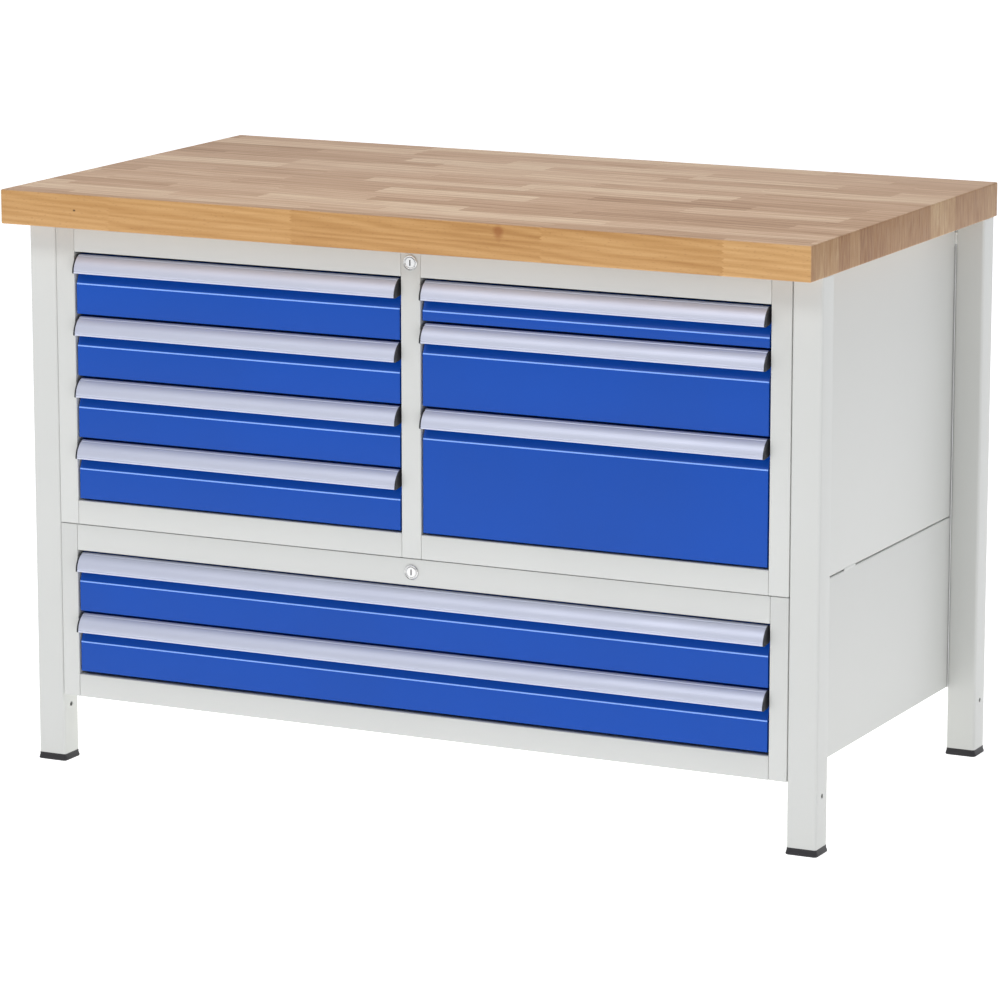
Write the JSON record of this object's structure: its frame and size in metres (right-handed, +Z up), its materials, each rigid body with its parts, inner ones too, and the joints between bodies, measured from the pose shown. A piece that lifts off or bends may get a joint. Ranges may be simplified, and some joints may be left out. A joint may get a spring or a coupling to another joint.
{
  "type": "workbench with drawers",
  "caption": "Free-standing workbench: a thick beech top on steel tube legs, with two stacked housings of sliding drawers that have full-width grips and cylinder locks.",
  "frame": {"origin": "on the floor, under the middle of the worktop's outline", "axes": "+Z up, +X along the length of the bench to the right of someone facing the drawers, and the drawers open towards -Y"},
  "size_m": [1.25, 0.7, 0.845],
  "materials": {
    "grey_paint": "light grey powder coat, fine orange peel",
    "blue_paint": "gentian blue powder coat, semi-gloss",
    "aluminium": "satin anodised extrusion",
    "nickel": "bright nickel plate",
    "zinc": "zinc plated sheet steel",
    "black_plastic": "moulded black plastic",
    "beech": "oiled, edge-glued beech staves"
  },
  "bodies": {
    "bench": {"worktop": "beech", "front_left_leg": "grey_paint", "front_left_foot": "black_plastic", "front_right_leg": "grey_paint", "front_right_foot": "black_plastic", "rear_left_leg": "grey_paint", "rear_left_foot": "black_plastic", "rear_right_leg": "grey_paint", "rear_right_foot": "black_plastic", "upper_housing": "grey_paint", "upper_back_panel": "grey_paint", "upper_front_frame": "grey_paint", "upper_lock_barrel": "nickel", "lower_housing": "grey_paint", "lower_back_panel": "grey_paint", "lower_left_strip": "grey_paint", "lower_right_strip": "grey_paint", "lower_bottom_rail": "grey_paint", "lower_top_rail": "grey_paint", "lower_lock_barrel": "nickel", "centre_divider": "grey_paint", "left_left_rails": "zinc", "left_right_rails": "zinc", "right_left_rails": "zinc", "right_right_rails": "zinc", "lower_left_rails": "zinc", "lower_right_rails": "zinc"},
    "left_drawer_1": {"left_drawer_1_front": "blue_paint", "left_drawer_1_grip": "aluminium", "left_drawer_1_tray": "grey_paint"},
    "left_drawer_2": {"left_drawer_2_front": "blue_paint", "left_drawer_2_grip": "aluminium", "left_drawer_2_tray": "grey_paint"},
    "left_drawer_3": {"left_drawer_3_front": "blue_paint", "left_drawer_3_grip": "aluminium", "left_drawer_3_tray": "grey_paint"},
    "left_drawer_4": {"left_drawer_4_front": "blue_paint", "left_drawer_4_grip": "aluminium", "left_drawer_4_tray": "grey_paint"},
    "right_drawer_1": {"right_drawer_1_front": "blue_paint", "right_drawer_1_grip": "aluminium", "right_drawer_1_tray": "grey_paint"},
    "right_drawer_2": {"right_drawer_2_front": "blue_paint", "right_drawer_2_grip": "aluminium", "right_drawer_2_tray": "grey_paint"},
    "right_drawer_3": {"right_drawer_3_front": "blue_paint", "right_drawer_3_grip": "aluminium", "right_drawer_3_tray": "grey_paint"},
    "lower_drawer_1": {"lower_drawer_1_front": "blue_paint", "lower_drawer_1_grip": "aluminium", "lower_drawer_1_tray": "grey_paint"},
    "lower_drawer_2": {"lower_drawer_2_front": "blue_paint", "lower_drawer_2_grip": "aluminium", "lower_drawer_2_tray": "grey_paint"},
    "upper_lock_plug": {"upper_lock_plug": "nickel"},
    "lower_lock_plug": {"lower_lock_plug": "nickel"},
    "left_lock_bar": {"left_lock_bar": "zinc"},
    "right_lock_bar": {"right_lock_bar": "zinc"},
    "lower_lock_bar": {"lower_lock_bar": "zinc"}
  },
  "joints": [
    {"name": "left_drawer_1_slide", "type": "slide", "parent": "bench", "child": "left_drawer_1", "axis": [0, -1, 0], "range_m": [0, 0.5]},
    {"name": "left_drawer_2_slide", "type": "slide", "parent": "bench", "child": "left_drawer_2", "axis": [0, -1, 0], "range_m": [0, 0.5]},
    {"name": "left_drawer_3_slide", "type": "slide", "parent": "bench", "child": "left_drawer_3", "axis": [0, -1, 0], "range_m": [0, 0.5]},
    {"name": "left_drawer_4_slide", "type": "slide", "parent": "bench", "child": "left_drawer_4", "axis": [0, -1, 0], "range_m": [0, 0.5]},
    {"name": "right_drawer_1_slide", "type": "slide", "parent": "bench", "child": "right_drawer_1", "axis": [0, -1, 0], "range_m": [0, 0.5]},
    {"name": "right_drawer_2_slide", "type": "slide", "parent": "bench", "child": "right_drawer_2", "axis": [0, -1, 0], "range_m": [0, 0.5]},
    {"name": "right_drawer_3_slide", "type": "slide", "parent": "bench", "child": "right_drawer_3", "axis": [0, -1, 0], "range_m": [0, 0.5]},
    {"name": "lower_drawer_1_slide", "type": "slide", "parent": "bench", "child": "lower_drawer_1", "axis": [0, -1, 0], "range_m": [0, 0.5]},
    {"name": "lower_drawer_2_slide", "type": "slide", "parent": "bench", "child": "lower_drawer_2", "axis": [0, -1, 0], "range_m": [0, 0.5]},
    {"name": "upper_lock_turn", "type": "hinge", "parent": "bench", "child": "upper_lock_plug", "pos_m": [0.008, -0.303, 0.775], "axis": [0, -1, 0], "range_deg": [-1, 91]},
    {"name": "lower_lock_turn", "type": "hinge", "parent": "bench", "child": "lower_lock_plug", "pos_m": [0.008, -0.303, 0.33775], "axis": [0, -1, 0], "range_deg": [-1, 91]},
    {"name": "left_lock_bar_slide", "type": "slide", "parent": "bench", "child": "left_lock_bar", "axis": [0, 0, 1], "range_m": [-0.01, 0]},
    {"name": "right_lock_bar_slide", "type": "slide", "parent": "bench", "child": "right_lock_bar", "axis": [0, 0, 1], "range_m": [-0.0102, 0.0002]},
    {"name": "lower_lock_bar_slide", "type": "slide", "parent": "bench", "child": "lower_lock_bar", "axis": [0, 0, 1], "range_m": [-0.01, 0]}
  ],
  "couplings": [
    {"joint": "upper_lock_turn", "follows": "left_lock_bar_slide", "rad_per_m": -157.08},
    {"joint": "right_lock_bar_slide", "follows": "left_lock_bar_slide", "ratio": 1},
    {"joint": "lower_lock_turn", "follows": "lower_lock_bar_slide", "rad_per_m": -157.08}
  ]
}
